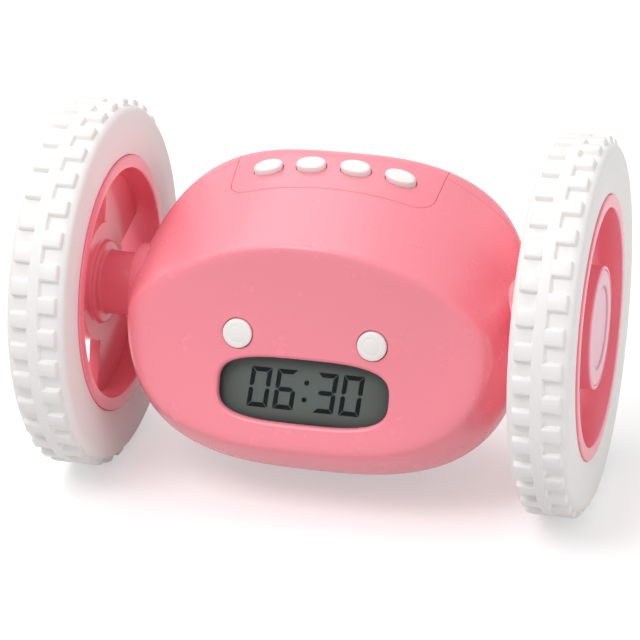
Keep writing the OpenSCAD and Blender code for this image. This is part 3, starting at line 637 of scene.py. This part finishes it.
def makeShells():
    outer = bodySolid(0, body["around"], body["rings"])
    inner = bodySolid(body["wall"], 150, 76)
    b, e = topButtons, eyeButtons
    ovals = superOval(b["halfLength"] + b["gap"], b["halfWidth"] + b["gap"], 2, 48)

    # the panel and the door are cut from the same skin as the shells
    lid = combine(copyOf(outer), skinTool(onForehead, panelOutline, panel["lip"], 9, True, *foreheadReach), "INTERSECT")
    hatch = combine(copyOf(outer), skinTool(onDoor, doorOutline, door["lip"], 9, True, *doorReach), "INTERSECT")
    for piece in (lid, hatch):
        combine(piece, inner, keep=True)
    combine(lid, joinAll([skinTool(onForehead, placedOval(x, panel["along"], ovals), 0.25, 6, False, *foreheadReach)
                          for x in b["xs"]]))
    post = inFrame(onDoor, [(door["screwX"], 0, door["seat"])])[0]
    outWay = onDoor.to_3x3() @ Vector((0, 0, 1))
    combine(hatch, pin(post, outWay, door["headR"], 9))
    print("panel and door cut")

    # collars at both ends, then the hollow
    for side in (-1, 1):
        collarR, root, face = body["collarR"], side * body["collarRoot"], side * body["collarX"]
        profile = soften([(0, root), (collarR, root), (collarR, face), (0, face)], [0, 0, 0.45, 0], 4)
        combine(outer, turned(profile, 96, closed=False), "UNION")
    combine(outer, inner, keep=True)
    for side in (-1, 1):
        h, way = axleHole, (side, 0, 0)
        combine(outer, pin((side * h["bossX"], 0, axleZ), way, h["bossR"], h["bossLength"]), "UNION")
        combine(outer, pin((side * h["boreX"], 0, axleZ), way, h["boreR"], h["boreLength"]))
    shell = outer
    combine(shell, skinTool(onForehead, grown(panelOutline, panel["gap"]), panel["lip"], 12, False, *foreheadReach))
    combine(shell, skinTool(onDoor, grown(doorOutline, door["gap"]), door["lip"], 12, False, *doorReach))
    combine(shell, skinTool(onFace, lcdOutline, display["lip"], 6))
    eyeHole = superOval(e["radius"] + e["gap"], e["radius"] + e["gap"], 2, 64)
    combine(shell, joinAll([skinTool(onEye(side), eyeHole, 0.3, 6) for side in (-1, 1)]))
    print("front openings cut")

    # posts for the screws, their recesses and the sound holes in the back
    mouth = superOval(screws["headR"], screws["headR"], 2, 32)
    posts, mouths, seats, bores = [], [], [], []
    for x, z in screws["at"]:
        posts.append(pin((x, -body["barrelR"] + body["wall"], axleZ + z), (0, 1, 0), screws["bossR"],
                         2 * (body["barrelR"] - body["wall"]), 32))
        mouths.append(skinTool(onBack(x, z + axleZ), mouth, 0.3, 0.9, False, *backReach))
        seats.append(pin((x, screws["seatY"], axleZ + z), (0, 1, 0), screws["headR"], 30, 32))
        bores.append(pin((x, screws["seatY"] + screws["boreFrom"], axleZ + z), (0, 1, 0), screws["boreR"],
                         screws["boreLength"], 24))
    combine(shell, combine(joinAll(posts), inner, "INTERSECT", keep=True), "UNION")
    for tools in (mouths, seats, bores):
        combine(shell, joinAll(tools))
    hole = superOval(sound["holeR"], sound["holeR"], 2, 24)
    holes = []
    for ring in range(sound["rings"]):
        count = max(1, 6 * ring)
        for i in range(count):
            angle = i * 2 * math.pi / count
            x, z = ring * sound["step"] * math.cos(angle), ring * sound["step"] * math.sin(angle)
            holes.append(skinTool(onBack(x, z + barrelZ), hole, 0.2, 4, False, *backReach))
    combine(shell, joinAll(holes))
    print("back finished")

    front = shell
    rear = copyOf(shell)
    block, seam = 200, 0.05
    combine(front, start("cube", size=block, location=(0, body["seamY"] + block / 2 - seam, axleZ)))
    combine(rear, start("cube", size=block, location=(0, body["seamY"] - block / 2 + seam, axleZ)))
    bpy.data.objects.remove(inner)
    finishPiece(front, "front_shell_moulding", "chassis", paints["pink_shell"], ["front_shell"])
    finishPiece(rear, "rear_shell_moulding", "chassis", paints["pink_shell"], ["rear_shell"])
    finishPiece(lid, "top_panel_moulding", "chassis", paints["pink_panel"], ["top_panel"])
    finishPiece(hatch, "battery_door_moulding", "battery_door", paints["pink_shell"], ["battery_door"])
    print("shells finished")


makeShells()

# ---- buttons ----


def makeTopButton(number, x):
    t = topButtons
    place = placedOval(x, panel["along"], superOval(t["halfLength"], t["halfWidth"], t["power"], 64))
    edge = t["edge"]
    # a flange under the panel, the straight side, then the rounded edge and the crown
    steps = [(0.7, -2.9), (0.8, -2.8), (0.8, -2.25), (0.7, -2.15), (0, -2.15), (0, t["proud"] - edge)]
    steps += [(edge * (math.cos(a) - 1), t["proud"] - edge + edge * math.sin(a))
              for a in (0.3, 0.6, 0.9, 1.2, 1.5)]
    steps += [(-0.9, t["proud"] + 0.03), (-1.5, t["proud"] + 0.05), (-2.0, t["proud"] + 0.06)]
    rings = []
    for grow, height in steps:
        flat = place(grow)
        rings.append(inFrame(onForehead, np.column_stack([flat, crownHeight(flat[:, 0]) + height])))
    button = wrapped(rings)
    foot = inFrame(onForehead, [(x, panel["along"], body["foreheadH"] - t["stemDown"])])[0]
    stem = pin(foot, foreheadNormal, t["stemR"], t["stemLength"])
    button = joinAll([button, stem])
    node = f"top_button_{number}"
    finishPiece(button, f"top_button_cap_{number}", node, paints["button_white"], [node])


def crownHeight(xs):
    return body["foreheadH"] - body["foreheadR"] + np.sqrt(body["foreheadR"] ** 2 - xs ** 2)


for i, x in enumerate(topButtons["xs"], 1):
    makeTopButton(i, x)


def makeEyeButton(side):
    e = eyeButtons
    circle = superOval(1, 1, 2, 72)(0)
    edge = e["edge"]
    # a flange behind the face, then the straight side and its rounded edge
    steps = [(4.2, -2.95), (4.3, -2.85), (4.3, -2.25), (4.2, -2.15),
             (e["radius"], -2.15), (e["radius"], e["proud"] - e["dome"] - edge)]
    steps += [(e["radius"] - edge + edge * math.cos(a), e["proud"] - e["dome"] - edge + edge * math.sin(a))
              for a in (0.35, 0.7, 1.05, 1.35)]
    shallow = lambda r: e["proud"] - e["dome"] * (r / (e["radius"] - edge)) ** 2
    # a shallow ring is pressed into the face
    steps += [(r, shallow(r) - drop) for r, drop in
              ((2.8, 0), (2.35, 0), (2.2, 0.02), (2.12, 0.1), (1.78, 0.1), (1.7, 0.02),
               (1.5, 0), (1.0, 0), (0.5, 0))]
    rings = [inFrame(onEye(side), np.column_stack([circle * r, np.full(len(circle), h)])) for r, h in steps]
    button = wrapped(rings)
    place = onEye(side)
    foot = inFrame(place, [(0, 0, e["stemFrom"])])[0]
    stem = pin(foot, place.to_3x3() @ Vector((0, 0, 1)), e["stemR"], e["stemLength"])
    button = joinAll([button, stem])
    name = "left" if side < 0 else "right"
    node = f"{name}_eye_button"
    finishPiece(button, f"{name}_round_button", node, paints["button_white"], [node])


for side in (-1, 1):
    makeEyeButton(side)
print("buttons finished")

# ---- display ----

digits = {"text": "06:30", "height": 9.5, "width": 5.0, "bar": 1.1, "gap": 0.12, "slant": math.radians(5.5),
          "centres": (-11.1, -4.85, 0.0, 4.85, 11.1), "dot": 0.62, "dotUp": 2.0, "depth": -3.15, "thick": 0.04}
litBars = {"0": "abcdef", "3": "abcdg", "6": "acdefg"}


def barOutlines(d):
    hw, hh, t, g = d["width"] / 2, d["height"] / 2, d["bar"], d["gap"]
    top = [(-hw + g, hh), (hw - g, hh), (hw - g - t, hh - t), (-hw + g + t, hh - t)]
    upper = [(hw, hh - g), (hw, g + t * 0.3), (hw - t / 2, g), (hw - t, g + t / 2), (hw - t, hh - g - t)]
    middle = [(-hw + t / 2 + g, 0), (-hw + t + g, t / 2), (hw - t - g, t / 2), (hw - t / 2 - g, 0),
              (hw - t - g, -t / 2), (-hw + t + g, -t / 2)]
    down = lambda bar: [(x, -y) for x, y in bar]
    across = lambda bar: [(-x, y) for x, y in bar]
    return {"a": top, "b": upper, "c": down(upper), "d": down(top), "e": down(across(upper)),
            "f": across(upper), "g": middle}


def makeDigits(d):
    bars = []
    outlines = barOutlines(d)
    for letter, centre in zip(d["text"], d["centres"]):
        if letter == ":":
            circle = superOval(d["dot"], d["dot"], 2, 20)(0)
            shapes = [[(x, y + up) for x, y in circle] for up in (d["dotUp"], -d["dotUp"])]
        else:
            shapes = [outlines[bar] for bar in litBars[letter]]
        for shape in shapes:
            plate = start("circle", vertices=len(shape), radius=1, fill_type="NGON")
            leaned = [(x + centre + y * math.tan(d["slant"]), y, d["depth"]) for x, y in shape]
            setPoints(plate, inFrame(onFace, leaned))
            applyModifier(plate, "SOLIDIFY", thickness=d["thick"], offset=0)
            bars.append(plate)
    piece = joinAll(bars)
    tidyMesh(piece)
    finishPiece(piece, "display_digits", "chassis", inkPaint)


makeDigits(digits)


def makePane():
    rings = []
    gap = 0.1
    outline = superOval(display["halfWidth"] - gap, display["halfHeight"] - gap, display["power"], 96)
    # the hidden flange, then the part that fills the opening
    steps = [(1.6, -3.1), (1.7, -3.0), (1.7, -2.2), (1.6, -2.12)]
    steps += [(0, -2.12), (0, -1.5), (-0.15, -1.35), (-3, -1.35)]
    for grow, height in steps:
        flat = outline(grow)
        rings.append(inFrame(onFace, np.column_stack([flat, np.full(len(flat), height)])))
    finishPiece(wrapped(rings), "display_pane", "chassis", paints["clear_window"], ["lcd_window"])


makePane()
print("display finished")

# ---- wheels ----

wheel = {"x": 58.5, "tyreR": 44.5, "floorR": 43.2, "steps": 144}
tyre = {"halfWidth": 7.15, "ribHalf": 1.35, "shoulder": 2.3, "lugEnd": 5.4, "lugs": 36, "lugHalf": 1.9, "bevel": 0.5}
rim = {"outerR": 31.05, "lipR": 28.0, "wellR": 27.5, "halfWidth": 6.9, "webHalf": 1.3, "flange": 1.6,
       "spokeAngle": 60, "spokeFrom": 9.0, "spokeTo": 28.5, "turns": {"left": 45, "right": 12},
       "hubR": 14.5, "hubEnd": 6.6, "innerHubR": 10.0, "innerEnd": -3.0, "neckR": 7.7, "neckStart": -10.9,
       "boreR": 2.0, "capR": 13.6, "capSeat": 2.6}


def mirrored(profile, side):
    return [(r, side * (wheel["x"] + u)) for r, u in profile]


def makeLug(inner, side):
    t = tyre
    rowSign = -1 if inner else 1
    length = t["lugEnd"] - t["ribHalf"] + 0.5
    middle = side * (wheel["x"] + rowSign * (t["lugEnd"] + t["ribHalf"] - 0.5) / 2)
    lug = start("cube", size=1)
    lug.data.transform(Matrix.Diagonal((length, 2 * t["lugHalf"], 2.5, 1)))
    points = getPoints(lug)
    low = points[:, 2] > 0  # the root is towards the axle, above the floor
    points[low, 1] *= 1.18
    outer = np.sign(points[:, 0]) == side * rowSign
    points[low & outer, 0] += side * rowSign * 0.35
    setPoints(lug, points)
    lug.data.transform(Matrix.Translation((middle, 0, 1.25)))
    take(lug)
    bpy.ops.object.mode_set(mode="EDIT")
    bpy.ops.mesh.select_all(action="DESELECT")
    bpy.ops.object.mode_set(mode="OBJECT")
    for edge in lug.data.edges:
        a, b = (lug.data.vertices[v].co for v in edge.vertices)
        edge.select = not (a.z > 1.25 and b.z > 1.25)
    bpy.ops.object.mode_set(mode="EDIT")
    bpy.ops.mesh.select_mode(type="EDGE")
    bpy.ops.mesh.bevel(offset=t["bevel"], segments=2)
    bpy.ops.mesh.select_mode(type="VERT")
    bpy.ops.object.mode_set(mode="OBJECT")
    return lug


def makeTyre(name, side):
    t, w = tyre, wheel
    half, s = t["halfWidth"], t["shoulder"]
    rise = w["tyreR"]
    profile = soften([
        (31.1, -6.45), (31.1, 6.45), (36, half), (w["floorR"], half - 0.1), (w["floorR"], t["ribHalf"] + 0.1),
        (rise, t["ribHalf"] - 0.05), (rise, -t["ribHalf"] + 0.05), (w["floorR"], -t["ribHalf"] - 0.1),
        (w["floorR"], -half + 0.1), (36, -half),
    ], [0.5, 0.5, 5, s, 0.25, 0.3, 0.3, 0.25, s, 5], 5)
    pieces = [turned(mirrored(profile, side), w["steps"])]
    centre = Matrix.Translation((0, 0, axleZ))
    for inner in (False, True):
        lug = makeLug(inner, side)
        for i in range(t["lugs"]):
            turn = math.radians((i + (0.5 if inner else 0)) * 360 / t["lugs"])
            pieces.append(copyOf(lug, centre @ Matrix.Rotation(turn, 4, "X") @ centre.inverted()))
        bpy.data.objects.remove(lug)
    finishPiece(joinAll(pieces), f"{name}_tyre_moulding", f"{name}_wheel", paints["tyre_white"],
                [f"{name}_tyre"], 40)


def makeRim(name, side):
    r, w = rim, wheel
    half = r["halfWidth"]
    ring = soften([
        (r["outerR"], -half), (r["lipR"], -half), (r["wellR"], -r["webHalf"]), (r["wellR"], r["webHalf"]),
        (r["lipR"], half), (r["outerR"], half),
    ], [0.35, 0.4, 0, 0, 0.4, 0.35], 4)
    pieces = [turned(mirrored(ring, side), w["steps"])]
    hub = soften([
        (r["boreR"], r["neckStart"]), (r["neckR"], r["neckStart"]), (r["neckR"], r["innerEnd"]),
        (r["innerHubR"], r["innerEnd"]), (r["innerHubR"], -r["flange"]), (r["hubR"], -r["flange"]),
        (r["hubR"], r["hubEnd"]), (r["capR"], r["hubEnd"]), (r["capR"], r["capSeat"]), (r["boreR"], r["capSeat"]),
    ], [0, 0.5, 0.6, 0.6, 0.5, 0, 0.45, 0.15, 0, 0], 4)
    pieces.append(turned(mirrored(hub, side), 96))
    for i in range(3):
        middle = r["turns"][name] + 120 * i
        last = middle + r["spokeAngle"] / 2
        corners = [(r["spokeFrom"], -r["webHalf"]), (r["spokeTo"], -r["webHalf"]),
                   (r["spokeTo"], r["webHalf"]), (r["spokeFrom"], r["webHalf"])]
        spoke = turned(mirrored(corners, side), 24, r["spokeAngle"])
        spoke.data.transform(Matrix.Translation((0, 0, axleZ)) @ Matrix.Rotation(math.radians(last - 90), 4, "X")
                             @ Matrix.Translation((0, 0, -axleZ)))
        take(spoke)
        bpy.ops.object.mode_set(mode="EDIT")
        bpy.ops.mesh.select_all(action="SELECT")
        bpy.ops.mesh.fill_holes(sides=0)
        bpy.ops.mesh.select_all(action="SELECT")
        bpy.ops.mesh.normals_make_consistent(inside=False)
        bpy.ops.object.mode_set(mode="OBJECT")
        applyModifier(spoke, "BEVEL", width=0.35, segments=3, limit_method="ANGLE", angle_limit=math.radians(50))
        pieces.append(spoke)
    finishPiece(joinAll(pieces), f"{name}_rim_moulding", f"{name}_wheel", paints["rim_pink"], [f"{name}_rim"])


def makeHubCap(name, side):
    r, top = rim["capR"] - 0.02, rim["hubEnd"]
    under, groove, middle = 3.7, 6.05, 6.3
    # a raised border, a narrow groove inside it and a flat middle
    profile = soften([
        (0, under), (r, under), (r, top), (9.9, top), (9.9, groove), (9.3, groove), (9.0, middle), (0, middle),
    ], [0, 0.2, 0.5, 0.25, 0.15, 0.15, 0.3, 0], 4)
    cap = turned(mirrored(profile, side), 96, closed=False)
    finishPiece(cap, f"{name}_hub_cap_moulding", f"{name}_wheel", paints["hub_pale_pink"], [f"{name}_hub_cap"])


for wheelName, side in (("left", -1), ("right", 1)):
    makeTyre(wheelName, side)
    makeRim(wheelName, side)
    makeHubCap(wheelName, side)
print("wheels finished")

# ---- floor, light and world ----

studio = {"world": 0.45, "floor": rgb(216, 216, 216), "floorLift": 0.44}
lamps = (
    {"place": (-0.42, 0.2, 1.1), "size": 1.0, "power": 5.5},
    {"place": (-0.34, -0.66, 1.0), "size": 0.5, "power": 6},
    {"place": (1.2, -0.35, 0.4), "size": 0.6, "power": 3.4},
)


def makeFloor(s):
    floor = start("plane", size=9)
    floor.name = "studio_floor"
    paint = Paint("studio_floor_paint")
    seen = paint.node("ShaderNodeLightPath", {}, {}, "Is Camera Ray")
    glossy = paint.node("ShaderNodeLightPath", {}, {}, "Is Glossy Ray")
    through = paint.node("ShaderNodeLightPath", {}, {}, "Is Transmission Ray")
    paint.shader.inputs["Emission Color"].default_value = (1, 1, 1, 1)
    lift = (seen + glossy + through).limited() * s["floorLift"]
    paint.set(colour=s["floor"], roughness=0.9, specular=0.0, glow=lift)
    floor.data.materials.append(paint.material)


def makeLight(s):
    world = bpy.data.worlds.new("studio_world")
    world.use_nodes = True
    bpy.context.scene.world = world
    tree = world.node_tree
    path = tree.nodes.new("ShaderNodeLightPath")
    seen, glossy, through = (Wire(tree, path.outputs[key]) for key in
                             ("Is Camera Ray", "Is Glossy Ray", "Is Transmission Ray"))
    background = tree.nodes["Background"]
    background.inputs["Color"].default_value = (1, 1, 1, 1)
    connect(tree, background.inputs["Strength"], (seen + glossy + through).limited() * (1 - s["world"]) + s["world"])
    for lamp in lamps:
        leaveAll()
        bpy.ops.object.light_add(type="AREA", location=lamp["place"])
        light = bpy.context.object
        light.data.size = lamp["size"]
        light.data.energy = lamp["power"]
        light.rotation_euler = (Vector((0, 0, 0.045)) - Vector(lamp["place"])).to_track_quat("-Z", "Y").to_euler()


makeFloor(studio)
makeLight(studio)
bpy.context.scene.view_settings.view_transform = "Standard"
print("studio set")
